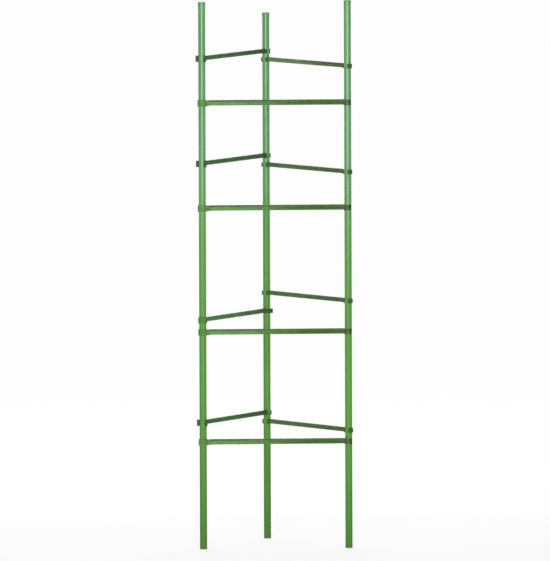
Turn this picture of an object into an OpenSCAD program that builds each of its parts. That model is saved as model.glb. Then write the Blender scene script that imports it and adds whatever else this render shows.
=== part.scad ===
// Triangular plant cage: three coated tube stakes stand in the soil and
// twelve clip-on cross arms tie them together in four staggered levels.
// Origin on the soil line at the centre of the stake triangle, +Z up, front face toward -Y.

/* [Stakes] */
// Outside diameter of a coated stake
stake_d = 16; // [12:0.5:20]
// Length of a stake from the top of its cap to its point
stake_len = 1524; // [1220:1:1830]
// Distance between the axes of two stakes
stake_gap = 330; // [250:1:450]
// Thickness of the plastic coating
coat_t = 0.6; // [0.4:0.1:1.2]
// Wall of the steel tube under the coating
tube_t = 0.6; // [0.4:0.1:1.2]

/* [Planting] */
// Length of the left stake below the soil line
left_bury = 284; // [200:1:380]
// Length of the right stake below the soil line
right_bury = 282; // [200:1:380]
// Length of the back stake below the soil line
back_bury = 324; // [200:1:380]

/* [Caps and points] */
// How far a cap or a point collar stands out past the coating
end_proud = 0.4; // [0.2:0.1:1]
// Height of a cap above the end of the tube
cap_h = 10; // [6:0.5:16]
// Rounding of the cap's top edge
cap_round = 2; // [1:0.5:4]
// Length of the plug that a cap or a point has inside the tube
plug_len = 24; // [12:1:40]
// Chamfer on the leading edge of a plug
plug_lead = 1.5; // [0.5:0.5:3]
// Height of the straight collar of a ground point
collar_h = 40; // [25:1:60]
// Height of the tapered point below the collar
point_h = 45; // [30:1:70]
// Radius of the blunt nose of a point
nose_r = 1.6; // [1:0.1:3]

/* [Cross arms] */
// Height of the bar of a front arm
front_bar_h = 12.2; // [10:0.1:13]
// Height of the bar of a back arm
back_bar_h = 10.2; // [8:0.1:12]
// Thickness of an arm's bar
bar_t = 6; // [4:0.5:8]
// Rounding of the bar's long edges
bar_round = 2.2; // [1:0.1:2.9]
// Radius of the stiffening bead along the bar and around its clips
bead_r = 1; // [0.5:0.1:1.5]
// Distance of the bar's middle above the middle of its clips
bar_lift = 1; // [0:0.1:1.5]

/* [Clips] */
// Radial clearance between a clip and a stake
clip_clear = 0.1; // [0.05:0.01:0.2]
// Wall of a clip
clip_t = 2; // [1.8:0.1:3]
// Height along the stake of the tall clips at the left stake, the others are as tall as their bar
ring_h = 14.5; // [13.5:0.1:16]
// Rounding of the top and bottom edges of a clip
clip_round = 0.7; // [0.4:0.1:0.8]
// Thickness of a flared lip
lip_t = 1.8; // [1.4:0.1:2]
// Half of the mouth of a latch clip, as an angle in degrees
latch_mouth_a = 58; // [50:1:66]
// Angle in degrees between a lip of a latch clip and the middle of the mouth
latch_lip_a = 45; // [30:1:60]
// Length of a lip of a latch clip
latch_lip_len = 2; // [1:0.1:4]
// Half of the mouth of a swing clip, as an angle in degrees
swing_mouth_a = 52; // [44:1:58]
// Angle in degrees between a lip of a swing clip and the middle of the mouth
swing_lip_a = 85; // [60:1:90]
// Length of a lip of a swing clip
swing_lip_len = 4.8; // [2:0.1:7]
// Length of the gussets where the bar meets a clip
gusset_len = 11; // [6:0.5:20]

/* [Levels] */
// Free gap between two clips that are stacked next to each other
stack_gap = 3; // [1:0.1:6]

/* [Hidden] */

$fn = 96;
overrun = 2;
// Depth to which the middle of the bead lies inside the wall of a clip.
bead_sink = 0.4;

// Height of the front arm of each level, from the top, as shares of the shortest stake above the soil.
front_shares = [0.8428, 0.6444, 0.4103, 0.2027];
// Rise of the back arms above the front arm of their level, as shares of a stacked tall clip.
right_rise_shares = [4.69, 4.59, 3.95, 1.42];
left_rise_shares = [5.77, 5.78, 1.6, 2.55];

stake_r = stake_d / 2;
tube_r = stake_r - coat_t;
bore_r = tube_r - tube_t;
end_r = stake_r + end_proud;
tube_len = stake_len - cap_h - collar_h - point_h;

tri_side = stake_gap / 2;
tri_front = stake_gap * tan(30) / 2;
tri_back = stake_gap / cos(30) / 2;
left_top = stake_len - left_bury;
right_top = stake_len - right_bury;
back_top = stake_len - back_bury;
low_top = min(left_top, right_top, back_top);

clip_in = stake_r + clip_clear;
clip_out = clip_in + clip_t;
clip_mid = clip_in + clip_t / 2;
stack_pitch = ring_h + stack_gap;

left_at = [-tri_side, -tri_front];
right_at = [tri_side, -tri_front];
back_at = [0, tri_back];
corners = [left_at, right_at, back_at];
// Angle in degrees between two sides of the triangle, seen from above.
corner_a = 360 / len(corners);

stake_green = [0.46, 0.74, 0.48];
arm_green = [0.33, 0.46, 0.28];
point_green = [0.22, 0.36, 0.2];
steel_grey = [0.66, 0.67, 0.68];

function front_z(i) = front_shares[i] * low_top;
function right_z(i) = front_z(i) + right_rise_shares[i] * stack_pitch;
function left_z(i) = front_z(i) + left_rise_shares[i] * stack_pitch;

// Puts a stake drawn with its point at z = 0 at a corner of the triangle.
module planted(xy, top) {
    translate([xy[0], xy[1], top - stake_len]) children();
}

// A straight pipe with its lower end at z = 0.
module pipe(r_out, r_in, len) {
    difference() {
        cylinder(h = len, r = r_out);
        translate([0, 0, -overrun]) cylinder(h = len + 2 * overrun, r = r_in);
    }
}

// Steel tube of one stake.
module stake_tube() {
    translate([0, 0, point_h + collar_h]) pipe(tube_r, bore_r, tube_len);
}

// Plastic coating drawn over the whole tube.
module stake_coating() {
    translate([0, 0, point_h + collar_h]) pipe(stake_r, tube_r, tube_len);
}

// Half outline of the plug that sits in the bore of a tube, from y = 0 up, with a chamfered end.
module plug_outline() {
    polygon([
        [0, -plug_lead], [bore_r, -plug_lead], [bore_r, plug_len - plug_lead],
        [bore_r - plug_lead, plug_len], [0, plug_len]
    ]);
}

// Cap with a rounded top edge over the end of the tube and a plug inside it.
module stake_cap() {
    translate([0, 0, stake_len - cap_h]) rotate([180, 0, 0]) rotate_extrude() {
        polygon([
            [0, -cap_h], [end_r - cap_round, -cap_h], [end_r, cap_round - cap_h],
            [end_r, 0], [0, 0]
        ]);
        translate([end_r - cap_round, cap_round - cap_h]) circle(r = cap_round);
        plug_outline();
    }
}

// Ground point: a blunt cone, a straight collar and a plug inside the tube.
module stake_point() {
    rotate_extrude() {
        intersection() {
            translate([0, nose_r]) circle(r = nose_r);
            square([end_r, point_h]);
        }
        polygon([
            [0, nose_r], [nose_r, nose_r], [end_r, point_h],
            [end_r, point_h + collar_h], [0, point_h + collar_h]
        ]);
        translate([0, point_h + collar_h]) plug_outline();
    }
}

// Outline of the bar across its length: a rounded rectangle with a bead on each face.
module bar_section(bar_h) {
    square([bar_t, bar_h - 2 * bar_round], center = true);
    square([bar_t - 2 * bar_round, bar_h], center = true);
    for (sx = [-1, 1]) {
        for (sy = [-1, 1]) {
            translate([sx * (bar_t / 2 - bar_round), sy * (bar_h / 2 - bar_round)])
                circle(r = bar_round);
        }
        translate([sx * bar_t / 2, -bar_lift]) circle(r = bead_r);
    }
}

// Section of a clip's wall with rounded top and bottom edges, and the bead on its outer face.
module clip_section(clip_h) {
    translate([clip_in, -clip_h / 2 + clip_round]) square([clip_t, clip_h - 2 * clip_round]);
    translate([clip_in + clip_round, -clip_h / 2]) square([clip_t - 2 * clip_round, clip_h]);
    for (sx = [clip_in + clip_round, clip_out - clip_round]) {
        for (sy = [-1, 1]) {
            translate([sx, sy * (clip_h / 2 - clip_round)]) circle(r = clip_round);
        }
    }
    translate([clip_out - bead_sink, 0]) circle(r = bead_r);
}

// One lip at the end of a jaw, drawn for the jaw on the +Y side of a mouth along +X.
module lip(clip_h, mouth_a, lip_a, lip_len) {
    lip_h = clip_h - 2 * clip_round;
    rotate([0, 0, mouth_a]) translate([clip_mid, 0, 0]) {
        cylinder(h = lip_h, r = lip_t / 2, center = true);
        rotate([0, 0, lip_a - mouth_a]) {
            translate([lip_len / 2, 0, 0]) cube([lip_len, lip_t, lip_h], center = true);
            translate([lip_len, 0, 0]) cylinder(h = lip_h, r = lip_t / 2, center = true);
        }
    }
}

// Clip around the Z axis with its mouth along +X.
module clip(clip_h, mouth_a, lip_a, lip_len) {
    rotate([0, 0, mouth_a]) rotate_extrude(angle = 360 - 2 * mouth_a) clip_section(clip_h);
    lip(clip_h, mouth_a, lip_a, lip_len);
    mirror([0, 1, 0]) lip(clip_h, mouth_a, lip_a, lip_len);
}

// Clip that opens sideways, toward +Y.
module latch_clip(clip_h) {
    rotate([0, 0, 90]) clip(clip_h, latch_mouth_a, latch_lip_a, latch_lip_len);
}

// Clip that opens along the arm, toward +X, with long lips across it.
module swing_clip(clip_h) {
    clip(clip_h, swing_mouth_a, swing_lip_a, swing_lip_len);
}

// Two gussets, over and under the bar, for a clip at x = 0 with the bar along +X.
module gussets(bar_h, clip_h) {
    edge_z = clip_h / 2 - clip_round;
    rotate([90, 0, 0]) translate([0, 0, -(bar_t - 2 * bar_round) / 2 - bar_round / 2])
        linear_extrude(height = bar_t - bar_round)
            polygon([
                [clip_mid, -edge_z], [clip_mid + clip_t, -edge_z],
                [clip_out + gusset_len, bar_lift - bar_h / 2 + bar_round / 2],
                [clip_out + gusset_len, bar_lift + bar_h / 2 - bar_round / 2],
                [clip_mid + clip_t, edge_z], [clip_mid, edge_z]
            ]);
}

// Bar along +X between the clips at two stakes, with its gussets.
module bar(bar_h, near_h, far_h) {
    translate([clip_mid, 0, bar_lift]) rotate([90, 0, 90])
        linear_extrude(height = stake_gap - 2 * clip_mid) bar_section(bar_h);
    gussets(bar_h, near_h);
    translate([stake_gap, 0, 0]) mirror([1, 0, 0]) gussets(bar_h, far_h);
}

// One cross arm along +X: a latch clip at x = 0 and a swing clip at the other stake.
module cross_arm(bar_h, latch_h, swing_h) {
    latch_clip(latch_h);
    translate([stake_gap, 0, 0]) swing_clip(swing_h);
    bar(bar_h, latch_h, swing_h);
}

// Arm of the front side, with its tall clip, a latch clip, at the left stake.
module front_arm() {
    cross_arm(front_bar_h, ring_h, front_bar_h);
}

// Arm of the back left side, with its tall clip, a swing clip, at the left stake.
module left_arm() {
    cross_arm(back_bar_h, back_bar_h, ring_h);
}

// The same arm clipped on the other way round, with a latch clip as its tall clip at the left stake.
module turned_arm() {
    cross_arm(back_bar_h, ring_h, back_bar_h);
}

// The arm that closes a level: a latch clip at both stakes, so that it is pressed on from outside.
module closing_arm(bar_h) {
    latch_clip(bar_h);
    translate([stake_gap, 0, 0]) latch_clip(bar_h);
    bar(bar_h, bar_h, bar_h);
}

// Clips an arm to the stakes of one side so that its bar is centred at height z.
module on_side(xy, turn, z) {
    translate([xy[0], xy[1], z - bar_lift]) rotate([0, 0, turn]) children();
}

module left_tube() color(steel_grey) planted(left_at, left_top) stake_tube();
module left_coating() color(stake_green) planted(left_at, left_top) stake_coating();
module left_cap() color(stake_green) planted(left_at, left_top) stake_cap();
module left_point() color(point_green) planted(left_at, left_top) stake_point();
module right_tube() color(steel_grey) planted(right_at, right_top) stake_tube();
module right_coating() color(stake_green) planted(right_at, right_top) stake_coating();
module right_cap() color(stake_green) planted(right_at, right_top) stake_cap();
module right_point() color(point_green) planted(right_at, right_top) stake_point();
module back_tube() color(steel_grey) planted(back_at, back_top) stake_tube();
module back_coating() color(stake_green) planted(back_at, back_top) stake_coating();
module back_cap() color(stake_green) planted(back_at, back_top) stake_cap();
module back_point() color(point_green) planted(back_at, back_top) stake_point();

module front_arm_1() color(arm_green) on_side(left_at, 0, front_z(0)) front_arm();
module front_arm_2() color(arm_green) on_side(left_at, 0, front_z(1)) front_arm();
module front_arm_3() color(arm_green) on_side(left_at, 0, front_z(2)) front_arm();
module front_arm_4() color(arm_green) on_side(left_at, 0, front_z(3)) front_arm();
module back_right_arm_1() color(arm_green) on_side(right_at, corner_a, right_z(0)) closing_arm(back_bar_h);
module back_right_arm_2() color(arm_green) on_side(right_at, corner_a, right_z(1)) closing_arm(back_bar_h);
module back_right_arm_3() color(arm_green) on_side(right_at, corner_a, right_z(2)) closing_arm(back_bar_h);
module back_right_arm_4() color(arm_green) on_side(right_at, corner_a, right_z(3)) closing_arm(back_bar_h);
module back_left_arm_1() color(arm_green) on_side(back_at, 2 * corner_a, left_z(0)) left_arm();
module back_left_arm_2() color(arm_green) on_side(back_at, 2 * corner_a, left_z(1)) left_arm();
module back_left_arm_3() color(arm_green) on_side(left_at, corner_a / 2, left_z(2)) turned_arm();
module back_left_arm_4() color(arm_green) on_side(back_at, 2 * corner_a, left_z(3)) left_arm();

left_tube();
left_coating();
left_cap();
left_point();
right_tube();
right_coating();
right_cap();
right_point();
back_tube();
back_coating();
back_cap();
back_point();
front_arm_1();
front_arm_2();
front_arm_3();
front_arm_4();
back_right_arm_1();
back_right_arm_2();
back_right_arm_3();
back_right_arm_4();
back_left_arm_1();
back_left_arm_2();
back_left_arm_3();
back_left_arm_4();
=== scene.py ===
"""Dresses a triangular stake cage: three coated stakes and twelve moulded cross arms.

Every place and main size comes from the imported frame. This script makes the finished
meshes, their materials, a plain studio and the camera. Lengths are in metres.
"""

import logging
import math
from dataclasses import dataclass
from enum import Enum
from typing import NamedTuple

import bmesh
import bpy
from mathutils import Matrix, Vector


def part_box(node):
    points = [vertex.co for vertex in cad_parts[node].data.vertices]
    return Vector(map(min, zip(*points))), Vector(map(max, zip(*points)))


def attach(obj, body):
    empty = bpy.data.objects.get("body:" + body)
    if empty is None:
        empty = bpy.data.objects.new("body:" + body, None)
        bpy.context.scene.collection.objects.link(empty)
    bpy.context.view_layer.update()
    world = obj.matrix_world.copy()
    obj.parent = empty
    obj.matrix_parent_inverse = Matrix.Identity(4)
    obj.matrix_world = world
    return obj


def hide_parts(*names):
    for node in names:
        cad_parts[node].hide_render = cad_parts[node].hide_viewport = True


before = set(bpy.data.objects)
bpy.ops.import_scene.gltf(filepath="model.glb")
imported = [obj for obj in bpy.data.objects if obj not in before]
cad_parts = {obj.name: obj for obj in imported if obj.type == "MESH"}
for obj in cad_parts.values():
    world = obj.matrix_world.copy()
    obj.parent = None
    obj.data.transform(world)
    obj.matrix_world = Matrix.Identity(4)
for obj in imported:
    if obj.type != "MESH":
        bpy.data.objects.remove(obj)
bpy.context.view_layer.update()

LOG = logging.getLogger("stake_cage")
MM = 0.001
SHARP_EDGE = math.radians(38)
PLACE_ATTRIBUTE = "arm_place"
WHITE = (1.0, 1.0, 1.0, 1.0)

Colour = tuple[float, float, float, float]
Shade = tuple[int, int, int]
Stretch = tuple[float, float, float]
Outline = list[tuple[float, float]]
Material = bpy.types.Material
Mesh = bpy.types.Mesh
Node = bpy.types.Node
Piece = bpy.types.Object
Socket = bpy.types.NodeSocket
Sockets = bpy.types.bpy_prop_collection
Tree = bpy.types.NodeTree


def linear(value: int) -> float:
    """Undoes the display curve for a value from 0 to 255."""
    share = value / 255
    return share / 12.92 if share <= 0.04045 else ((share + 0.055) / 1.055) ** 2.4


def display_colour(red: int, green: int, blue: int) -> Colour:
    """Turns display values from 0 to 255 into a linear colour with full alpha."""
    return linear(red), linear(green), linear(blue), 1.0


def shares(count: int) -> list[float]:
    """Lists the shares from 0 to 1 in equal steps."""
    return [step / count for step in range(count + 1)]


def smooth_step(share: float) -> float:
    """Eases a share from 0 to 1 with flat ends."""
    held = min(max(share, 0.0), 1.0)
    return held * held * (3 - 2 * held)


class NodeDesk:
    """Places nodes in one tree and joins their sockets."""

    def __init__(self, tree: Tree) -> None:
        """Keeps the tree that the nodes go into."""
        self.tree = tree

    def add(self, kind: str, inputs: dict | None = None, **options: object) -> Node:
        """Adds a node, sets its options and fills or joins its inputs.

        Args:
            kind: Type name of the node.
            inputs: A value or an output socket for each input, by name or number.
            options: Settings of the node itself.

        Returns:
            The new node.
        """
        node = self.tree.nodes.new(kind)
        for name, value in options.items():
            setattr(node, name, value)
        for key, value in (inputs or {}).items():
            if isinstance(value, Socket):
                self.tree.links.new(value, node.inputs[key])
            else:
                node.inputs[key].default_value = value
        return node

    def result(self, kind: str, inputs: dict | None = None, **options: object) -> Socket:
        """Adds a node and returns its first output."""
        return self.add(kind, inputs, **options).outputs[0]

    def maths(self, operation: str, *values: object) -> Socket:
        """Does one sum on numbers or sockets, in the node's order."""
        return self.result("ShaderNodeMath", dict(enumerate(values)), operation=operation)

    def spread(self, value: object, low: float, high: float,
               to_low: object = 0.0, to_high: object = 1.0) -> Socket:
        """Maps a value smoothly, so that low and high become to_low and to_high."""
        wanted = {"Value": value, "From Min": low, "From Max": high, "To Min": to_low, "To Max": to_high}
        return self.result("ShaderNodeMapRange", wanted, interpolation_type="SMOOTHSTEP")

    def mix(self, factor: object, first: object, second: object, blend: str = "MIX") -> Socket:
        """Mixes two colours, with the factor as the share of the second."""
        wanted = {0: factor, 6: first, 7: second}
        return self.add("ShaderNodeMix", wanted, data_type="RGBA", blend_type=blend).outputs[2]

    def ramp(self, value: object, stops: tuple[tuple[float, Colour], ...]) -> Socket:
        """Adds a colour ramp.

        Args:
            value: Number or socket from 0 to 1.
            stops: Place and colour of each stop, in rising order.

        Returns:
            The colour's socket.
        """
        node = self.add("ShaderNodeValToRGB", {0: value})
        elements = node.color_ramp.elements
        while len(elements) < len(stops):
            elements.new(0.5)
        for element, (position, colour) in zip(elements, stops):
            element.position = position
            element.color = colour
        return node.outputs["Color"]

    def noise(self, place: object, scale: object, detail: float = 3.0) -> Socket:
        """Adds a Noise Texture and returns the socket of its value."""
        wanted = {"Vector": place, "Scale": scale, "Detail": detail}
        return self.add("ShaderNodeTexNoise", wanted).outputs["Fac"]

    def split(self, place: Socket) -> Sockets:
        """Returns the X, Y and Z sockets of a place."""
        return self.add("ShaderNodeSeparateXYZ", {0: place}).outputs


def new_group(name: str, inputs: dict[str, str], outputs: dict[str, str],
              kind: str = "ShaderNodeTree") -> tuple[NodeDesk, Sockets]:
    """Starts a node group with named sockets.

    Args:
        name: Name of the group.
        inputs: Socket type for each input name.
        outputs: Socket type for each output name.
        kind: Type name of its tree.

    Returns:
        A desk on the group and the sockets of its inputs.
    """
    tree = bpy.data.node_groups.new(name, kind)
    for way, sockets in (("INPUT", inputs), ("OUTPUT", outputs)):
        for socket, holds in sockets.items():
            tree.interface.new_socket(name=socket, in_out=way, socket_type=f"NodeSocket{holds}")
    desk = NodeDesk(tree)
    return desk, desk.add("NodeGroupInput").outputs


@dataclass
class SharedEffects:
    """The shader node groups that several finishes place with their own values."""

    patch_edges: tuple[float, float] = (0.32, 0.68)
    broad_share: float = 0.08
    broad_weight: float = 0.5
    broad_edges: tuple[float, float] = (0.3, 0.7)
    mark_softness: float = 0.09
    speck_scale: float = 160.0
    speck_edges: tuple[float, float] = (0.36, 0.62)

    def __post_init__(self) -> None:
        """Builds each group once."""
        self._tone_drift()
        self._moulded_grain()
        self._rub_marks()
        self._ground_dust()

    def _tone_drift(self) -> None:
        """Makes soft patches between a light and a dark tone."""
        desk, given = new_group("Tone drift", {
            "Place": "Vector", "Light": "Color", "Dark": "Color", "Patch scale": "Float",
        }, {"Colour": "Color"})
        share = desk.spread(desk.noise(given["Place"], given["Patch scale"]), *self.patch_edges)
        desk.add("NodeGroupOutput", {"Colour": desk.mix(share, given["Dark"], given["Light"])})
        self.tone = desk.tree

    def _moulded_grain(self) -> None:
        """Makes the fine skin of moulded plastic and the roughness that goes with it."""
        desk, given = new_group("Moulded grain", {
            "Place": "Vector", "Grain scale": "Float", "Smoothest": "Float", "Roughest": "Float",
        }, {"Height": "Float", "Roughness": "Float"})
        fine = desk.noise(given["Place"], given["Grain scale"], detail=2.0)
        broad = desk.noise(given["Place"], desk.maths("MULTIPLY", given["Grain scale"], self.broad_share))
        height = desk.maths("MULTIPLY_ADD", broad, self.broad_weight, fine)
        rough = desk.spread(broad, *self.broad_edges, given["Smoothest"], given["Roughest"])
        desk.add("NodeGroupOutput", {"Height": height, "Roughness": rough})
        self.grain = desk.tree

    def _rub_marks(self) -> None:
        """Makes scattered scuffs from a stretched place."""
        desk, given = new_group("Rub marks", {
            "Stretched place": "Vector", "Mark scale": "Float", "Sparseness": "Float",
        }, {"Mask": "Float"})
        lines = desk.noise(given["Stretched place"], given["Mark scale"], detail=4.0)
        above = desk.maths("SUBTRACT", lines, given["Sparseness"])
        desk.add("NodeGroupOutput", {"Mask": desk.spread(above, 0.0, self.mark_softness)})
        self.rub = desk.tree

    def _ground_dust(self) -> None:
        """Makes a ragged film of dust that fades out upward."""
        desk, given = new_group("Ground dust", {
            "Place": "Vector", "Clean above": "Float", "Thick below": "Float",
        }, {"Mask": "Float"})
        height = desk.split(given["Place"])["Z"]
        film = desk.result("ShaderNodeMapRange", {
            "Value": height, "From Min": given["Clean above"], "From Max": given["Thick below"],
        })
        specks = desk.spread(desk.noise(given["Place"], self.speck_scale, detail=6.0), *self.speck_edges)
        desk.add("NodeGroupOutput", {"Mask": desk.maths("MULTIPLY", film, specks)})
        self.dust = desk.tree


@dataclass(frozen=True)
class Skin:
    """Fine grain of a surface, with the range of its roughness and its depth."""

    scale: float
    smoothest: float
    roughest: float
    depth: float


@dataclass(frozen=True)
class Scuffs:
    """Rubbed marks, drawn out along the axis with the least stretch factor."""

    stretch: Stretch
    scale: float
    sparseness: float
    strength: float
    shade: Shade


@dataclass(frozen=True)
class DustFilm:
    """Dust on a surface between two heights."""

    clean_above: float
    thick_below: float
    strength: float
    shade: Shade


@dataclass(frozen=True)
class Gloss:
    """Strength and tint of the reflections."""

    level: float
    tint: Colour


class SurfaceDesk(NodeDesk):
    """A desk on a new material, with the steps that several finishes share."""

    def __init__(self, name: str, effects: SharedEffects | None = None) -> None:
        """Starts the material with one Principled shader.

        Args:
            name: Name of the material.
            effects: The shared groups, where the finish places any.
        """
        self.material = bpy.data.materials.new(name)
        self.material.use_nodes = True
        super().__init__(self.material.node_tree)
        self.effects = effects
        self.shader = self.tree.nodes["Principled BSDF"]
        self.place = self.add("ShaderNodeTexCoord").outputs["Object"]

    def stretched(self, place: Socket, scale: Stretch) -> Socket:
        """Scales a place unevenly, for marks that run one way."""
        return self.result("ShaderNodeMapping", {"Vector": place, "Scale": scale})

    def scaled(self, colour: Socket, factors: object) -> Socket:
        """Multiplies a colour by factors."""
        return self.mix(1.0, colour, factors, "MULTIPLY")

    def toned(self, place: Socket, light: object, dark: object, scale: float) -> Socket:
        """Drifts between two colours in soft patches."""
        wanted = {"Place": place, "Light": light, "Dark": dark, "Patch scale": scale}
        return self.result("ShaderNodeGroup", wanted, node_tree=self.effects.tone)

    def covered(self, colour: Socket, mask: Socket, cover: Scuffs | DustFilm) -> Socket:
        """Lays the shade of a cover on a colour where the mask is."""
        return self.mix(self.maths("MULTIPLY", mask, cover.strength), colour, display_colour(*cover.shade))

    def scuffs(self, place: Socket, marks: Scuffs) -> Socket:
        """Masks rubbed marks on a place."""
        wanted = {0: self.stretched(place, marks.stretch), 1: marks.scale, 2: marks.sparseness}
        return self.result("ShaderNodeGroup", wanted, node_tree=self.effects.rub)

    def dust(self, film: DustFilm) -> Socket:
        """Masks a film of dust."""
        wanted = {"Place": self.place, "Clean above": film.clean_above, "Thick below": film.thick_below}
        return self.result("ShaderNodeGroup", wanted, node_tree=self.effects.dust)

    def grained(self, place: Socket, skin: Skin) -> Socket:
        """Gives the surface the bumps of a skin.

        Args:
            place: Place that the grain lies on.
            skin: The grain.

        Returns:
            The roughness that goes with it.
        """
        grain = self.add("ShaderNodeGroup", {
            "Place": place, "Grain scale": skin.scale, "Smoothest": skin.smoothest, "Roughest": skin.roughest,
        }, node_tree=self.effects.grain).outputs
        bump = self.result("ShaderNodeBump", {
            "Strength": 1.0, "Distance": skin.depth, "Height": grain["Height"],
        })
        self.tree.links.new(bump, self.shader.inputs["Normal"])
        return grain["Roughness"]

    def finish(self, colour: Socket, roughness: Socket, gloss: Gloss | None) -> Material:
        """Joins the results to the shader.

        Args:
            colour: The finished colour.
            roughness: The finished roughness.
            gloss: Reflections, where they differ from the shader's own.

        Returns:
            The finished material.
        """
        self.tree.links.new(colour, self.shader.inputs["Base Color"])
        self.tree.links.new(roughness, self.shader.inputs["Roughness"])
        if gloss:
            self.shader.inputs["Specular IOR Level"].default_value = gloss.level
            self.shader.inputs["Specular Tint"].default_value = gloss.tint
        return self.material


STAKE_GLOSS = Gloss(1.0, (0.38, 1.0, 0.4, 1.0))


@dataclass(frozen=True)
class CoatingFinish:
    """Drawn green plastic, paler toward the top, darker toward the ground and dusty there.

    Each band is a height above the ground with the colour given there. The darkening toward
    the ground is painted shade.
    """

    name: str = "drawn green coating"
    bands: tuple[tuple[float, Shade], ...] = (
        (0.00, (52, 110, 28)),
        (0.17, (73, 127, 40)),
        (0.40, (83, 137, 48)),
        (0.70, (83, 134, 63)),
        (0.90, (92, 136, 91)),
    )
    top: float = 1.25
    streak: Stretch = (1.0, 1.0, 0.012)
    patch_scale: float = 260.0
    lighter: Colour = (1.09, 1.07, 1.09, 1.0)
    darker: Colour = (0.9, 0.93, 0.9, 1.0)
    marks: Scuffs = Scuffs((1.0, 1.0, 0.06), 420.0, 0.64, 0.22, (168, 206, 160))
    film: DustFilm = DustFilm(0.07, -0.05, 0.75, (112, 98, 66))
    skin: Skin = Skin(900.0, 0.35, 0.43, 0.04 * MM)
    gloss: Gloss = STAKE_GLOSS
    wear_roughness: float = 0.25
    glossy_above: float = 0.88
    dull_below: float = 0.48
    dulling: float = 0.4

    def material(self, effects: SharedEffects) -> Material:
        """Builds the material.

        Args:
            effects: The shared groups.

        Returns:
            The finished material.
        """
        desk = SurfaceDesk(self.name, effects)
        height = desk.split(desk.place)["Z"]
        # Colour by height; the darkening toward the ground is painted shade.
        bands = tuple((level / self.top, display_colour(*shade)) for level, shade in self.bands)
        banded = desk.ramp(desk.maths("DIVIDE", height, self.top), bands)
        along = desk.stretched(desk.place, self.streak)
        light, dark = desk.scaled(banded, self.lighter), desk.scaled(banded, self.darker)
        toned = desk.toned(along, light, dark, self.patch_scale)
        scuffs, dust = desk.scuffs(desk.place, self.marks), desk.dust(self.film)
        dusted = desk.covered(desk.covered(toned, scuffs, self.marks), dust, self.film)
        wear = desk.maths("MAXIMUM", dust, scuffs)
        worn = desk.maths("MULTIPLY_ADD", wear, self.wear_roughness, desk.grained(along, self.skin))
        dull = desk.spread(height, self.dull_below, self.glossy_above, self.dulling, 0.0)
        return desk.finish(dusted, desk.maths("ADD", worn, dull), self.gloss)


@dataclass(frozen=True)
class PlainFinish:
    """A finish between two shades, with the marks, the dust and the gloss that it names."""

    name: str
    light: Shade
    dark: Shade
    patch_scale: float
    skin: Skin
    streak: Stretch = (1.0, 1.0, 1.0)
    marks: Scuffs | None = None
    film: DustFilm | None = None
    gloss: Gloss | None = None
    metallic: float = 0.0

    def material(self, effects: SharedEffects) -> Material:
        """Builds the material.

        Args:
            effects: The shared groups.

        Returns:
            The finished material.
        """
        desk = SurfaceDesk(self.name, effects)
        along = desk.stretched(desk.place, self.streak)
        colour = desk.toned(along, display_colour(*self.light), display_colour(*self.dark), self.patch_scale)
        if self.marks:
            colour = desk.covered(colour, desk.scuffs(desk.place, self.marks), self.marks)
        if self.film:
            colour = desk.covered(colour, desk.dust(self.film), self.film)
        desk.shader.inputs["Metallic"].default_value = self.metallic
        return desk.finish(colour, desk.grained(along, self.skin), self.gloss)


@dataclass(frozen=True)
class CapFinish(PlainFinish):
    """Moulded green plastic of the caps, matched to the top of the coating."""

    name: str = "moulded green cap"
    light: Shade = (97, 144, 96)
    dark: Shade = (84, 126, 84)
    patch_scale: float = 140.0
    skin: Skin = Skin(2200.0, 0.4, 0.52, 0.06 * MM)
    marks: Scuffs = Scuffs((1.0, 0.3, 1.0), 520.0, 0.62, 0.3, (176, 212, 170))
    gloss: Gloss = STAKE_GLOSS


@dataclass(frozen=True)
class PointFinish(PlainFinish):
    """Dark green moulded plastic of the ground points, rubbed and covered with dust."""

    name: str = "soiled green point"
    light: Shade = (74, 112, 62)
    dark: Shade = (52, 84, 44)
    patch_scale: float = 110.0
    skin: Skin = Skin(1500.0, 0.5, 0.72, 0.1 * MM)
    marks: Scuffs = Scuffs((1.0, 1.0, 0.05), 480.0, 0.56, 0.35, (128, 158, 112))
    film: DustFilm = DustFilm(0.0, -0.2, 0.7, (104, 86, 60))


@dataclass(frozen=True)
class SteelFinish(PlainFinish):
    """Drawn steel of the tubes, with the draw lines along their length."""

    name: str = "drawn steel tube"
    light: Shade = (196, 198, 200)
    dark: Shade = (150, 152, 155)
    patch_scale: float = 700.0
    skin: Skin = Skin(2400.0, 0.28, 0.46, 0.03 * MM)
    streak: Stretch = (1.0, 1.0, 0.02)
    metallic: float = 1.0


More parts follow.
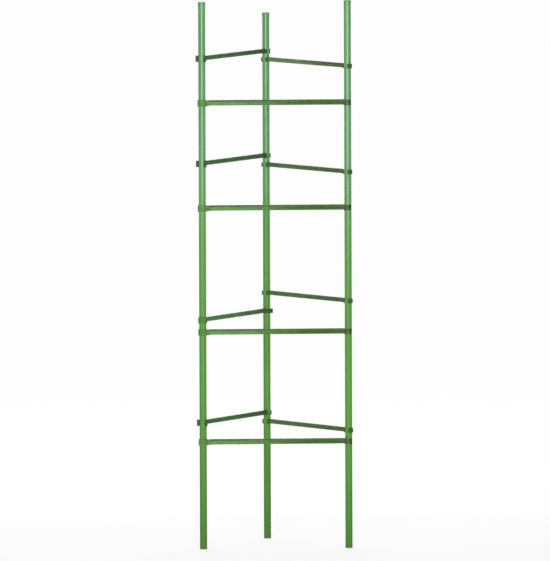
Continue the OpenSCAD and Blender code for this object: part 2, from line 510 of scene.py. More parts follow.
@dataclass(frozen=True)
class ArmFinish:
    """Olive moulded plastic of the cross arms, with the bar's colour changing from end to end.

    The near end is the one with the first clip of the arm. A painted shade darkens the bar's
    top edge strongly and its lower edge a little, round a light middle band; it is strongest
    at the near end and fades out along the bar. Each of its tones belongs to a share of the
    bar's height, from the lower edge up.
    """

    name: str
    near_clip: Shade
    near_bar: Shade
    far_bar: Shade
    far_clip: Shade
    # Colour of the far clip beyond its stake's axis; on the front arms a dark painted shade on the lips'
    # ends.
    far_tip: Shade
    # Painted edge shade: its strength at the near end, and its tones across the bar's height.
    near_weather: float = 0.0
    weathering: tuple[tuple[float, Colour], ...] = (
        (0.16, (0.84, 0.77, 0.90, 1.0)),
        (0.42, (1.00, 1.00, 1.00, 1.0)),
        (0.62, (0.74, 0.83, 0.68, 1.0)),
        (0.80, (0.36, 0.37, 0.32, 1.0)),
    )
    bar_lift: float = 1.0 * MM
    span: float = 330.0 * MM
    fade_from: float = 60.0 * MM
    fade_to: float = 245.0 * MM
    clip_reach: float = 11.5 * MM
    clip_fade: float = 5.0 * MM
    tip_from: float = 0.5 * MM
    tip_to: float = 4.0 * MM
    patch_scale: float = 70.0
    lighter: Colour = (1.12, 1.1, 1.12, 1.0)
    darker: Colour = (0.86, 0.88, 0.86, 1.0)
    marks: Scuffs = Scuffs((0.05, 1.0, 1.0), 620.0, 0.61, 0.2, (140, 164, 118))
    mark_roughness: float = 0.12
    skin: Skin = Skin(1700.0, 0.46, 0.6, 0.07 * MM)
    gloss: Gloss = Gloss(0.15, (0.6, 1.0, 0.6, 1.0))

    def material(self, effects: SharedEffects, bar_height: float) -> Material:
        """Builds the material.

        Args:
            effects: The shared groups.
            bar_height: Height of the bars that get it.

        Returns:
            The finished material.
        """
        desk = SurfaceDesk(self.name, effects)
        run = desk.add("ShaderNodeAttribute", attribute_name=PLACE_ATTRIBUTE).outputs["Vector"]
        faded = self._fading(desk, run, bar_height)
        light, dark = desk.scaled(faded, self.lighter), desk.scaled(faded, self.darker)
        toned = desk.toned(desk.place, light, dark, self.patch_scale)
        scuffs = desk.scuffs(run, self.marks)
        rubbed = desk.covered(toned, scuffs, self.marks)
        skin = desk.grained(desk.place, self.skin)
        return desk.finish(rubbed, desk.maths("MULTIPLY_ADD", scuffs, self.mark_roughness, skin), self.gloss)

    def _fading(self, desk: SurfaceDesk, run: Socket, bar_height: float) -> Socket:
        """Mixes the colours of the clips and the bar along the arm, with the painted edge shade and the far
        tip's colour.

        Args:
            desk: Desk on the material's tree.
            run: Socket with the place on the arm's own axes.
            bar_height: Height of the bar.

        Returns:
            Socket of the mixed colour.
        """
        spot = desk.split(run)
        along = desk.spread(spot["X"], self.fade_from, self.fade_to)
        bar = desk.mix(along, display_colour(*self.near_bar), display_colour(*self.far_bar))
        # Painted shade across the bar's height, strongest at the near end and gone at the far end.
        above = desk.maths("SUBTRACT", spot["Z"], self.bar_lift - bar_height / 2)
        tone = desk.ramp(desk.maths("DIVIDE", above, bar_height), self.weathering)
        strength = desk.spread(along, 0.0, 1.0, self.near_weather, 0.0)
        bar = desk.mix(strength, bar, desk.scaled(bar, tone))
        free_near = desk.spread(spot["X"], self.clip_reach, self.clip_reach + self.clip_fade)
        past = desk.maths("SUBTRACT", spot["X"], self.span)
        free_far = desk.spread(past, -self.clip_reach, -self.clip_reach - self.clip_fade)
        # Far clip beyond its stake's axis: on the front arms a painted shade on the lips' ends.
        tip = desk.spread(past, self.tip_from, self.tip_to)
        tip_shaded = desk.mix(tip, display_colour(*self.far_clip), display_colour(*self.far_tip))
        return desk.mix(free_far, tip_shaded, desk.mix(free_near, display_colour(*self.near_clip), bar))


@dataclass(frozen=True)
class FloorFinish:
    """Pale studio floor that stays near white in view and keeps the shadows near the cage."""

    name: str = "pale studio floor"
    tint: Colour = (0.94, 0.94, 0.94, 1.0)
    grain_tint: Colour = (0.8, 0.8, 0.8, 1.0)
    grain_scale: float = 3.0
    grain_edges: tuple[float, float] = (0.3, 0.7)
    grain_strength: float = 0.04
    near_white: float = 0.72
    far_white: float = 0.985
    near_reach: float = 0.5
    far_reach: float = 3.0

    def material(self) -> Material:
        """Builds the material.

        Returns:
            The floor's material.
        """
        desk = SurfaceDesk(self.name)
        noise = desk.noise(desk.place, self.grain_scale)
        grain = desk.spread(noise, *self.grain_edges, 0.0, self.grain_strength)
        matt = desk.result("ShaderNodeBsdfDiffuse", {"Color": desk.mix(grain, self.tint, self.grain_tint)})
        glow = desk.result("ShaderNodeEmission", {"Color": WHITE, "Strength": 1.0})
        path = desk.add("ShaderNodeLightPath").outputs
        seen = desk.maths("MAXIMUM", path["Is Camera Ray"], path["Is Glossy Ray"])
        shown = desk.maths("MAXIMUM", seen, path["Is Transmission Ray"])
        away = desk.add("ShaderNodeVectorMath", {0: desk.place}, operation="LENGTH").outputs["Value"]
        white = desk.spread(away, self.near_reach, self.far_reach, self.near_white, self.far_white)
        share = desk.maths("MULTIPLY", shown, white)
        surface = desk.result("ShaderNodeMixShader", {0: share, 1: matt, 2: glow})
        desk.tree.links.new(surface, desk.tree.nodes["Material Output"].inputs["Surface"])
        desk.tree.nodes.remove(desk.shader)
        return desk.material


def in_scene(piece: Piece) -> Piece:
    """Puts an object in the scene and returns it."""
    bpy.context.scene.collection.objects.link(piece)
    return piece


def settle(build: bmesh.types.BMesh, mesh: Mesh) -> None:
    """Writes a build to a mesh with outward faces, shaded smooth with its real corners kept sharp.

    Args:
        build: The faces, which are freed.
        mesh: The mesh to fill.
    """
    bmesh.ops.recalc_face_normals(build, faces=build.faces)
    build.to_mesh(mesh)
    build.free()
    mesh.shade_smooth()
    mesh.set_sharp_from_angle(angle=SHARP_EDGE)


class StakeSpot(Enum):
    """The corners of the triangle, by the first word of their nodes."""

    LEFT = "left"
    RIGHT = "right"
    BACK = "back"

    def node(self, part: str) -> str:
        """Names the node of one part of this stake."""
        return f"{self.value}_{part}"

    def axis(self) -> Vector:
        """Finds where the stake's axis meets the ground."""
        low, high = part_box(self.node("coating"))
        return Vector(((low.x + high.x) / 2, (low.y + high.y) / 2, 0.0))

    def radius(self) -> float:
        """Measures the outside radius of the coating."""
        low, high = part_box(self.node("coating"))
        return (high.x - low.x) / 2


@dataclass
class Stake:
    """One coated stake: coating, cap and ground point round the steel tube."""

    spot: StakeSpot
    coating: Material
    cap: Material
    point: Material
    steel: Material
    body: str = "stakes"
    around: int = 72
    corner_steps: int = 8
    wall: float = 0.6 * MM
    cap_rounding: float = 2.0 * MM
    cap_dish: float = 0.35 * MM
    dish_share: float = 0.6
    gate_radius: float = 1.6 * MM
    gate_flare: float = 1.3
    rim_chamfer: float = 0.5 * MM
    plug_length: float = 24.0 * MM
    plug_lead: float = 1.5 * MM
    plug_play: float = 0.05 * MM
    nose_radius: float = 1.6 * MM
    nose_angles: tuple[float, float] = (-78.0, -10.0)
    collar_height: float = 40.0 * MM
    groove_shares: tuple[float, ...] = (0.3, 0.7)
    groove_depth: float = 0.35 * MM
    groove_width: float = 1.6 * MM

    def build(self) -> list[Piece]:
        """Makes and dresses all pieces of the stake.

        Returns:
            The new pieces.
        """
        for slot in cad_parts[self.spot.node("tube")].material_slots:
            slot.material = self.steel
        pieces = []
        for part, name, outline, material, slot in (
            ("coating", "sleeve", self._sleeve_outline(), self.coating, "stake_coating"),
            ("cap", "cap_moulding", self._cap_outline(), self.cap, "stake_cap"),
            ("point", "point_moulding", self._point_outline(), self.point, "stake_point"),
        ):
            mesh = self._turned(f"{self.spot.value}_{name}", outline)
            mesh.materials.append(material)
            piece = in_scene(bpy.data.objects.new(mesh.name, mesh))
            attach(piece, self.body)
            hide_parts(self.spot.node(part))
            pieces.append(piece)
        return pieces

    def _turned(self, name: str, outline: Outline) -> Mesh:
        """Turns an outline round the stake's axis.

        Args:
            name: Name of the mesh.
            outline: Points that start and end on the axis, or stay off it and run back to the first.

        Returns:
            The mesh in its place.
        """
        axis = self.spot.axis()
        build = bmesh.new()
        rings = []
        for radius, height in outline:
            ring = []
            for step in range(self.around if radius else 1):
                angle = 2 * math.pi * step / self.around
                spot = Vector((radius * math.cos(angle), radius * math.sin(angle), height))
                ring.append(build.verts.new(axis + spot))
            rings.append(ring)
        pairs = list(zip(rings, rings[1:]))
        if len(rings[0]) > 1:
            pairs.append((rings[-1], rings[0]))
        for lower, upper in pairs:
            for step in range(self.around):
                corners = [lower[step % len(lower)], lower[(step + 1) % len(lower)],
                           upper[(step + 1) % len(upper)], upper[step % len(upper)]]
                build.faces.new(list(dict.fromkeys(corners)))
        mesh = bpy.data.meshes.new(name)
        settle(build, mesh)
        return mesh

    def _arc(self, out: float, up: float, radius: float, start: float, end: float) -> Outline:
        """Lists points of an arc round a centre, between two angles in degrees."""
        angles = [math.radians(start + (end - start) * share) for share in shares(self.corner_steps)]
        return [(out + radius * math.cos(angle), up + radius * math.sin(angle)) for angle in angles]

    def _bore(self) -> float:
        """Gives the radius of the plugs inside the tube."""
        return self.spot.radius() - 2 * self.wall - self.plug_play

    def _sleeve_outline(self) -> Outline:
        """Outlines the coating: outer wall, inner wall and eased ends.

        Returns:
            Radius and height of each point.
        """
        low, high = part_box(self.spot.node("coating"))
        outer = self.spot.radius()
        inner = outer - self.wall
        ease = self.wall / 3
        return [
            (inner, low.z), (outer - ease, low.z), (outer, low.z + ease),
            (outer, high.z - ease), (outer - ease, high.z), (inner, high.z),
        ]

    def _cap_outline(self) -> Outline:
        """Outlines a cap from the gate mark on its top down to the end of its plug.

        Returns:
            Radius and height of each point.
        """
        low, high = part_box(self.spot.node("cap"))
        rim = (high.x - low.x) / 2
        base = low.z + self.plug_length
        bore = self._bore()
        flat = rim - self.cap_rounding
        gate = high.z - 2 * self.cap_dish
        return [
            (0.0, gate), (self.gate_radius, gate),
            (self.gate_radius * self.gate_flare, high.z - self.cap_dish),
            (flat * self.dish_share, high.z - self.cap_dish / 2),
            *self._arc(flat, high.z - self.cap_rounding, self.cap_rounding, 90, 0),
            (rim, base + self.rim_chamfer), (rim - self.rim_chamfer, base), (bore, base),
            (bore, low.z + self.plug_lead), (bore - self.plug_lead, low.z), (0.0, low.z),
        ]

    def _point_outline(self) -> Outline:
        """Outlines a ground point from its nose up to the end of its plug.

        Returns:
            Radius and height of each point.
        """
        low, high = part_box(self.spot.node("point"))
        rim = (high.x - low.x) / 2
        bore = self._bore()
        seat = high.z - self.plug_length
        cone_top = seat - self.collar_height
        half = self.groove_width / 2
        grooves = []
        for share in self.groove_shares:
            middle = cone_top + self.collar_height * share
            grooves += [
                (rim, middle - half), (rim - self.groove_depth, middle - half / 2),
                (rim - self.groove_depth, middle + half / 2), (rim, middle + half),
            ]
        return [
            (0.0, low.z), *self._arc(0.0, low.z + self.nose_radius, self.nose_radius, *self.nose_angles),
            (rim - self.rim_chamfer, cone_top - self.rim_chamfer), (rim, cone_top + self.rim_chamfer),
            *grooves, (rim, seat - self.rim_chamfer), (rim - self.rim_chamfer, seat), (bore, seat),
            (bore, high.z - self.plug_lead), (bore - self.plug_lead, high.z), (0.0, high.z),
        ]


class ArmSide(Enum):
    """The sides of the triangle, with the stakes at the ends of their arms and the bars' height in mm."""

    FRONT = ("front", StakeSpot.LEFT, StakeSpot.RIGHT, 12.2)
    BACK_RIGHT = ("back_right", StakeSpot.RIGHT, StakeSpot.BACK, 10.2)
    BACK_LEFT = ("back_left", StakeSpot.BACK, StakeSpot.LEFT, 10.2)

    @property
    def prefix(self) -> str:
        """First words of the nodes on this side."""
        return self.value[0]

    @property
    def ends(self) -> tuple[StakeSpot, StakeSpot]:
        """Stakes where the arms start and end."""
        return self.value[1], self.value[2]

    @property
    def bar_height(self) -> float:
        """Height of the arms' bars."""
        return self.value[3] * MM

    @property
    def closes(self) -> bool:
        """Whether the arms of this side close their levels and have a latch clip at both ends."""
        return self is ArmSide.BACK_RIGHT


@dataclass(frozen=True)
class ArmBatch:
    """Arms of one side that share a finish, clipped on the usual way or turned round."""

    side: ArmSide
    levels: tuple[int, ...]
    finish: ArmFinish
    turned_round: bool = False


# The front arms and the first back right arm carry painted edge shade on their bars.
ARM_BATCHES = (
    ArmBatch(ArmSide.FRONT, (1, 2, 3, 4), ArmFinish(
        "front arm plastic",
        (86, 130, 66), (103, 142, 82), (62, 92, 42), (68, 94, 54), (46, 62, 42), near_weather=1.0)),
    # Lighter toward the far end, with a weaker painted edge shade on the bar.
    ArmBatch(ArmSide.BACK_RIGHT, (1,), ArmFinish(
        "sunned back right arm plastic",
        (62, 84, 54), (82, 105, 68), (106, 133, 92), (76, 98, 66), (72, 106, 62), near_weather=0.4)),
    ArmBatch(ArmSide.BACK_RIGHT, (2, 3, 4), ArmFinish(
        "back right arm plastic",
        (62, 84, 54), (76, 98, 61), (79, 113, 64), (70, 96, 60), (66, 100, 56))),
    ArmBatch(ArmSide.BACK_LEFT, (1, 2, 4), ArmFinish(
        "back left arm plastic",
        (50, 86, 46), (65, 95, 58), (63, 108, 54), (62, 101, 52), (64, 78, 56))),
    ArmBatch(ArmSide.BACK_LEFT, (3,), ArmFinish(
        "turned arm plastic",
        (76, 126, 52), (76, 124, 68), (72, 112, 64), (52, 88, 48), (50, 76, 46)), turned_round=True),
)


@dataclass(frozen=True)
class ClipPlan:
    """Plan of a clip: an open ring of one wall with flared lips at its mouth.

    The mouth is half of the opening, and the heading is the angle between a lip and the
    middle of the mouth.
    """

    mouth: float
    lip: float
    heading: float
    bend: float
    lip_thinning: float = 0.1
    blunt_share: float = 0.06
    arc_steps: int = 30
    bend_steps: int = 6
    end_steps: int = 5

    def half(self, middle: float, wall: float) -> list[tuple[float, float, float]]:
        """Follows the wall's middle from the closed side to the end of the lip on +Y.

        Args:
            middle: Radius of the wall's middle.
            wall: Thickness of the wall.

        Returns:
            Place in the plan and share of the thickness for each point, for a mouth along +X.
        """
        turn = self.heading + math.pi / 2 - self.mouth
        points = []
        for share in shares(self.arc_steps):
            angle = math.pi + (self.mouth - math.pi) * share
            points.append((middle * math.cos(angle), middle * math.sin(angle), 1.0))
        x, y, _ = points[-1]
        out_x, out_y = math.cos(self.mouth), math.sin(self.mouth)
        for share in shares(self.bend_steps)[1:]:
            rise, run = self.bend * (1 - math.cos(turn * share)), self.bend * math.sin(turn * share)
            points.append((x + out_x * rise + out_y * run, y + out_y * rise - out_x * run,
                           1.0 - self.lip_thinning * share))
        x, y, thick = points[-1]
        for share in shares(self.end_steps):
            part = math.pi / 2 * share
            reach = self.lip + wall * thick / 2 * math.sin(part)
            points.append((x + math.cos(self.heading) * reach, y + math.sin(self.heading) * reach,
                           max(thick * math.cos(part), self.blunt_share)))
        return points


SECTION_SIZES = {
    "Thickness": "Float", "Height": "Float", "Rounding": "Float", "Bead radius": "Float",
    "Bead sink": "Float", "Bead drop": "Float", "Inner bead": "Float", "Points": "Int",
}


@dataclass
class ArmTree:
    """Geometry Nodes that sweep the rounded sections of an arm along its paths."""

    corner_points: int = 6

    def __post_init__(self) -> None:
        """Builds the sweep group and the arm's tree once."""
        self.tree = self._arm(self._sweep())

    @staticmethod
    def _named(desk: NodeDesk, name: str, kind: str = "FLOAT") -> Socket:
        """Reads an attribute by name."""
        return desk.result("GeometryNodeInputNamedAttribute", {"Name": name}, data_type=kind)

    @staticmethod
    def _store(desk: NodeDesk, geometry: Socket, name: str, value: Socket, kind: str) -> Socket:
        """Writes an attribute by name and returns the geometry."""
        wanted = {"Geometry": geometry, "Name": name, "Value": value}
        return desk.result("GeometryNodeStoreNamedAttribute", wanted, data_type=kind, domain="POINT")

    def _section(self, desk: NodeDesk, given: Sockets) -> Socket:
        """Draws the rounded, beaded section and keeps how far each point lies across it.

        Args:
            desk: Desk on the sweep group.
            given: Sockets of the group's inputs.

        Returns:
            Socket of the section.
        """
        sides = {"Width": given["Thickness"], "Height": given["Height"]}
        section = desk.result("GeometryNodeFilletCurve", {
            "Curve": desk.result("GeometryNodeCurvePrimitiveQuadrilateral", sides),
            "Count": self.corner_points,
            "Radius": given["Rounding"],
            "Limit Radius": True,
        }, mode="POLY")
        section = desk.result("GeometryNodeResampleCurve", {"Curve": section, "Count": given["Points"]})
        spot = desk.split(desk.result("GeometryNodeInputPosition"))
        off = desk.maths("ABSOLUTE", desk.maths("SUBTRACT", spot["Y"], given["Bead drop"]))
        square = desk.maths("POWER", given["Bead radius"], 2.0)
        left = desk.maths("SUBTRACT", square, desk.maths("POWER", off, 2.0))
        crown = desk.maths("SQRT", desk.maths("MAXIMUM", left, 0.0))
        rise = desk.maths("MAXIMUM", desk.maths("SUBTRACT", crown, given["Bead sink"]), 0.0)
        outer = desk.maths("GREATER_THAN", spot["X"], 0.0)
        inner = desk.maths("MULTIPLY", desk.maths("LESS_THAN", spot["X"], 0.0), given["Inner bead"])
        proud = desk.maths("MULTIPLY", rise, desk.maths("SUBTRACT", outer, inner))
        lift = desk.result("ShaderNodeCombineXYZ", {"X": proud})
        section = desk.result("GeometryNodeSetPosition", {"Geometry": section, "Offset": lift})
        half = desk.split(desk.result("GeometryNodeInputPosition"))["X"]
        return self._store(desk, section, "half", half, "FLOAT")

    def _sweep(self) -> Tree:
        """Sweeps the section along paths, thinned where their slim attribute says.

        Returns:
            The group.
        """
        inputs = {"Paths": "Geometry", **SECTION_SIZES}
        desk, given = new_group("Moulded sweep", inputs, {"Geometry": "Geometry"}, "GeometryNodeTree")
        spine = desk.result("GeometryNodeMeshToCurve", {"Mesh": given["Paths"]})
        spine = desk.result("GeometryNodeSetCurveNormal", {"Curve": spine}, mode="Z_UP")
        normal = desk.result("GeometryNodeInputNormal")
        wall = desk.result("GeometryNodeCurveToMesh", {
            "Curve": self._store(desk, spine, "across", normal, "FLOAT_VECTOR"),
            "Profile Curve": self._section(desk, given),
            "Scale": self._named(desk, "girth"),
            "Fill Caps": True,
        })
        thinner = desk.maths("SUBTRACT", self._named(desk, "slim"), 1.0)
        reach = desk.maths("MULTIPLY", self._named(desk, "half"), self._named(desk, "girth"))
        shift = desk.result("ShaderNodeVectorMath", {
            0: self._named(desk, "across", "FLOAT_VECTOR"),
            "Scale": desk.maths("MULTIPLY", reach, thinner),
        }, operation="SCALE")
        wall = desk.result("GeometryNodeSetPosition", {"Geometry": wall, "Offset": shift})
        desk.add("NodeGroupOutput", {"Geometry": wall})
        return desk.tree

    def _arm(self, sweep: Tree) -> Tree:
        """Sweeps the bar and the clips of one arm with their own sections and joins them.

        Args:
            sweep: The sweep group.

        Returns:
            The tree for a modifier on the paths.
        """
        kinds = ("Clip", "Bar")
        sizes = {f"{kind} {size.lower()}": holds for kind in kinds for size, holds in SECTION_SIZES.items()}
        inputs = {"Paths": "Geometry", **sizes, "Material": "Material"}
        desk, given = new_group("Cross arm", inputs, {"Geometry": "Geometry"}, "GeometryNodeTree")
        parted = desk.add("GeometryNodeSeparateGeometry", {
            "Geometry": given["Paths"], "Selection": self._named(desk, "is_clip", "BOOLEAN"),
        }, domain="POINT").outputs
        joined = desk.add("GeometryNodeJoinGeometry")
        for kind, paths in zip(kinds, (parted["Selection"], parted["Inverted"])):
            own = {size: given[f"{kind} {size.lower()}"] for size in SECTION_SIZES}
            swept = desk.result("GeometryNodeGroup", {"Paths": paths, **own}, node_tree=sweep)
            desk.tree.links.new(swept, joined.inputs["Geometry"])
        spot = desk.result("GeometryNodeInputPosition")
        placed = self._store(desk, joined.outputs["Geometry"], PLACE_ATTRIBUTE, spot, "FLOAT_VECTOR")
        real = desk.result("GeometryNodeRealizeInstances", {"Geometry": placed})
        done = desk.result("GeometryNodeSetMaterial", {"Geometry": real, "Material": given["Material"]})
        desk.add("NodeGroupOutput", {"Geometry": done})
        return desk.tree


class PathPoint(NamedTuple):
    """A place on a path, with the size and the thickness of the section there as shares."""

    spot: Vector
    girth: float
    slim: float


@dataclass
class CrossArm:
    """One moulded arm: a beaded bar with a latch clip and a second clip at its far end."""

    side: ArmSide
    level: int
    finish: Material
    tree: Tree
    turned_round: bool = False
    bar_thickness: float = 6.0 * MM
    bar_rounding: float = 2.2 * MM
    bar_lift: float = 1.0 * MM
    bar_points: int = 80
    bead_radius: float = 1.0 * MM
    clip_clear: float = 0.1 * MM
    clip_wall: float = 2.0 * MM
    tall_clip: float = 14.5 * MM
    clip_rounding: float = 0.7 * MM
    clip_bead_sink: float = 0.42 * MM
    clip_points: int = 64
    flare_length: float = 12.0 * MM
    flare_steps: int = 14
    flare_share: float = 0.9
    latch_plan: ClipPlan = ClipPlan(math.radians(64), 0.5 * MM, math.radians(45), 1.6 * MM)
    swing_plan: ClipPlan = ClipPlan(math.radians(60), 3.5 * MM, math.radians(85), 0.6 * MM)

    @property
    def node(self) -> str:
        """Name of the node that this arm stands for, which is also its body."""
        return f"{self.side.prefix}_arm_{self.level}"

    def build(self) -> Piece:
        """Makes and dresses the arm.

        Returns:
            The finished piece.
        """
        near, far = reversed(self.side.ends) if self.turned_round else self.side.ends
        heights = self._clip_height(near), self._clip_height(far)
        run = far.axis() - near.axis()
        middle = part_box(self.node)[0].z + max(heights) / 2
        place = Matrix.Translation(near.axis() + Vector((0.0, 0.0, middle)))
        place = place @ Matrix.Rotation(math.atan2(run.y, run.x), 4, "Z")
        mesh = self._swept(self._paths(run.length, heights), max(heights))
        mesh.transform(place)
        piece = in_scene(bpy.data.objects.new(mesh.name, mesh))
        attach(piece, self.node)
        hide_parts(self.node)
        return piece

    def _middle(self) -> float:
        """Gives the radius of the middle of a clip's wall."""
        return self.side.ends[0].radius() + self.clip_clear + self.clip_wall / 2

    def _clip_height(self, spot: StakeSpot) -> float:
        """Gives the height of the clip at a stake, which is tall at the left stake only."""
        return self.tall_clip if spot is StakeSpot.LEFT else self.side.bar_height

    def _paths(self, span: float, heights: tuple[float, float]) -> Mesh:
        """Draws the three paths of the arm, with the latch clip on the Z axis and the bar along +X.

        Args:
            span: Distance between the axes of the two stakes.
            heights: Heights of the two clips.

        Returns:
            A mesh of edges with the attributes that the tree reads.
        """
        near, far = (height / max(heights) for height in heights)
        sideways = math.pi / 2
        far_plan, far_turn = (self.latch_plan, sideways) if self.side.closes else (self.swing_plan, 0.0)
        bar = self._bar_path(span, heights)
        near_clip = self._clip_path(self.latch_plan, 0.0, sideways, near)
        far_clip = self._clip_path(far_plan, span, far_turn, far)
        points: list[PathPoint] = []
        edges: list[tuple[int, int]] = []
        for path in (bar, near_clip, far_clip):
            first = len(points)
            points += path
            edges += [(index, index + 1) for index in range(first, len(points) - 1)]
        mesh = bpy.data.meshes.new(f"{self.node}_paths")
        mesh.from_pydata([point.spot for point in points], edges, [])
        for name, kind, values in (
            ("girth", "FLOAT", [point.girth for point in points]),
            ("slim", "FLOAT", [point.slim for point in points]),
            ("is_clip", "BOOLEAN", [index >= len(bar) for index in range(len(points))]),
        ):
            mesh.attributes.new(name, kind, "POINT").data.foreach_set("value", values)
        return mesh

    def _bar_path(self, span: float, heights: tuple[float, float]) -> list[PathPoint]:
        """Lists places along the bar, which grows and sinks to a clip that is taller than it.

        Args:
            span: Distance between the axes of the two stakes.
            heights: Heights of the two clips.

        Returns:
            The points from the near clip to the far one.
        """
        near, far = ([], [])
        for half, height in zip((near, far), heights):
            growth = max(self.flare_share * height / self.side.bar_height - 1, 0.0)
            for share in shares(self.flare_steps):
                bound = 1 - smooth_step(share) if growth else 0.0
                spot = Vector((self._middle() + self.flare_length * share, 0.0, self.bar_lift * (1 - bound)))
                half.append(PathPoint(spot, 1 + growth * bound, 1.0))
        mirror = Matrix.Translation((span, 0.0, 0.0)) @ Matrix.Diagonal((-1.0, 1.0, 1.0, 1.0))
        return near + [point._replace(spot=mirror @ point.spot) for point in reversed(far)]

    def _clip_path(self, plan: ClipPlan, along: float, turn: float, girth: float) -> list[PathPoint]:
        """Lists places round one clip, from lip to lip.

        Args:
            plan: Plan of the clip.
            along: Place of the clip's axis on the arm.
            turn: Angle of its mouth from the arm.
            girth: Height of the clip as a share of the arm's taller one.

        Returns:
            The points of the clip.
        """
        half = plan.half(self._middle(), self.clip_wall)
        loop = [*reversed(half), *((x, -y, thin) for x, y, thin in half[1:])]
        swing = Matrix.Rotation(turn, 4, "Z")
        axis = Vector((along, 0.0, 0.0))
        return [PathPoint(swing @ Vector((x, y, 0.0)) + axis, girth, thin / girth) for x, y, thin in loop]

    def _swept(self, paths: Mesh, clip_height: float) -> Mesh:
        """Runs the tree on the paths and keeps its result as a plain mesh.

        Args:
            paths: The mesh of paths.
            clip_height: Height of the taller clip.

        Returns:
            The arm's mesh, still on its own axes.
        """
        guide = in_scene(bpy.data.objects.new(paths.name, paths))
        sweep = guide.modifiers.new("cross arm", "NODES")
        sweep.node_group = self.tree
        wanted = {
            "Clip thickness": self.clip_wall, "Clip height": clip_height, "Clip rounding": self.clip_rounding,
            "Clip bead radius": self.bead_radius, "Clip bead sink": self.clip_bead_sink,
            "Clip points": self.clip_points, "Bar thickness": self.bar_thickness,
            "Bar height": self.side.bar_height, "Bar rounding": self.bar_rounding,
            "Bar bead radius": self.bead_radius, "Bar bead drop": self.bar_lift, "Bar inner bead": 1.0,
            "Bar points": self.bar_points, "Material": self.finish,
        }
        for socket in self.tree.interface.items_tree:
            if socket.in_out == "INPUT" and socket.name in wanted:
                sweep[socket.identifier] = wanted[socket.name]
        shown = guide.evaluated_get(bpy.context.evaluated_depsgraph_get())
        mesh = bpy.data.meshes.new_from_object(shown)
        mesh.name = f"{self.node}_moulding"
        guide.modifiers.remove(sweep)
        bpy.data.objects.remove(guide)
        bpy.data.meshes.remove(paths)
        for name in ("girth", "slim", "is_clip", "across", "half"):
            if name in mesh.attributes:
                mesh.attributes.remove(mesh.attributes[name])
        build = bmesh.new()
        build.from_mesh(mesh)
        settle(build, mesh)
        return mesh


def toward(azimuth: float, elevation: float) -> Vector:
    """Gives the direction to a viewer, in degrees round the cage from its front and above the horizon."""
    ahead = Vector((0.0, -math.cos(math.radians(elevation)), math.sin(math.radians(elevation))))
    return Matrix.Rotation(math.radians(azimuth), 3, "Z") @ ahead


@dataclass(frozen=True)
class Lamp:
    """One soft square lamp that faces the middle of the cage, with its level of light there."""

    name: str
    azimuth: float
    elevation: float
    distance: float
    side: float
    level: float

    def build(self, target: Vector) -> None:
        """Places the lamp.

        Args:
            target: Point that it faces.
        """
        light = bpy.data.lights.new(self.name, "AREA")
        light.shape = "SQUARE"
        light.size = self.side
        light.energy = self.level * math.pi**2 * self.distance**2
        lamp = in_scene(bpy.data.objects.new(self.name, light))
        away = toward(self.azimuth, self.elevation)
        lamp.location = target + away * self.distance
        lamp.rotation_euler = (-away).to_track_quat("-Z", "Y").to_euler()
        lamp.visible_camera = False


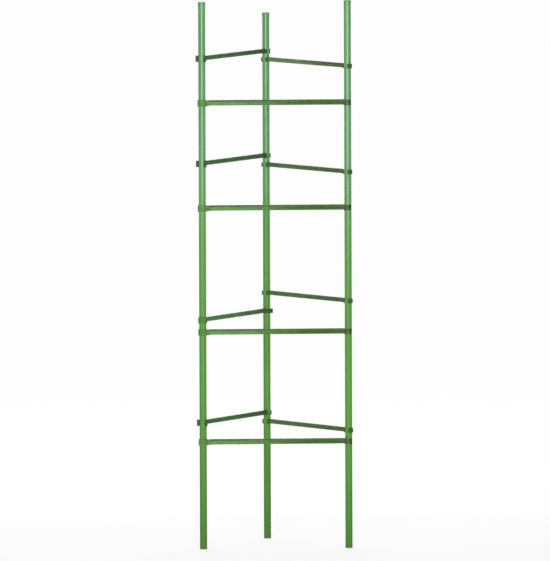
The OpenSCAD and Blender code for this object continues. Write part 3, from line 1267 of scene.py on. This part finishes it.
@dataclass
class Studio:
    """Plain floor, soft light and the camera."""

    target_height: float = 0.6
    lamps: tuple[Lamp, ...] = (
        Lamp("front lamp", -6.0, 9.0, 4.5, 1.5, 0.82),
        Lamp("back left lamp", -165.0, 35.0, 4.0, 2.2, 0.48),
        Lamp("back right lamp", 165.0, 35.0, 4.0, 2.2, 0.48),
    )
    ambient: float = 0.24
    floor_side: float = 160.0
    view_azimuth: float = -4.0079
    view_elevation: float = 3.9145
    view_roll: float = -0.2021
    view_distance: float = 42.0
    view_reach: float = 4.0
    frame_height: float = 1.27142
    aim_right: float = 5.742 * MM
    aim_up: float = 1.368 * MM
    sensor: float = 36.0

    def build(self) -> None:
        """Makes the floor, the light and the camera."""
        target = Vector((0.0, 0.0, self.target_height))
        self._floor()
        self._world()
        for lamp in self.lamps:
            lamp.build(target)
        self._camera(target)
        bpy.context.scene.view_settings.view_transform = "Standard"

    def _floor(self) -> None:
        """Lays the floor at ground level."""
        half = self.floor_side / 2
        corners = [(-half, -half, 0), (half, -half, 0), (half, half, 0), (-half, half, 0)]
        mesh = bpy.data.meshes.new("studio_floor")
        mesh.from_pydata(corners, [], [(0, 1, 2, 3)])
        mesh.materials.append(FloorFinish().material())
        in_scene(bpy.data.objects.new("studio_floor", mesh))

    def _world(self) -> None:
        """Sets an even grey surround."""
        world = bpy.data.worlds.new("studio surround")
        world.use_nodes = True
        background = world.node_tree.nodes["Background"].inputs
        background["Color"].default_value = WHITE
        background["Strength"].default_value = self.ambient
        bpy.context.scene.world = world

    def _camera(self, target: Vector) -> None:
        """Stands the camera where the cage is seen as in the photograph.

        Args:
            target: Point that the camera's aim is measured from.
        """
        back = toward(self.view_azimuth, self.view_elevation)
        level = Vector((0.0, 0.0, 1.0)).cross(back).normalized()
        rise = back.cross(level)
        roll = math.radians(self.view_roll)
        right = level * math.cos(roll) + rise * math.sin(roll)
        up = rise * math.cos(roll) - level * math.sin(roll)
        lens = bpy.data.cameras.new("view camera")
        lens.sensor_width = self.sensor
        lens.lens = self.sensor * self.view_distance / self.frame_height
        lens.clip_end = self.view_reach * self.view_distance
        lens.dof.use_dof = False
        camera = in_scene(bpy.data.objects.new("view camera", lens))
        spot = target + right * self.aim_right + up * self.aim_up + back * self.view_distance
        turn = Matrix((right, up, back)).transposed().to_4x4()
        camera.matrix_world = Matrix.Translation(spot) @ turn
        bpy.context.scene.camera = camera


def report(piece: Piece) -> None:
    """Logs a finished piece."""
    LOG.info("%s: %d faces", piece.name, len(piece.data.polygons))


def main() -> None:
    """Builds the studio, the stakes and the arms, and reports each piece."""
    logging.basicConfig(level=logging.INFO, format="%(name)s: %(message)s")
    effects = SharedEffects()
    Studio().build()

    finishes = (CoatingFinish(), CapFinish(), PointFinish(), SteelFinish())
    materials = [finish.material(effects) for finish in finishes]
    for spot in StakeSpot:
        for piece in Stake(spot, *materials).build():
            report(piece)

    tree = ArmTree().tree
    for batch in ARM_BATCHES:
        material = batch.finish.material(effects, batch.side.bar_height)
        for level in batch.levels:
            report(CrossArm(batch.side, level, material, tree, batch.turned_round).build())


if __name__ == "__main__":
    main()
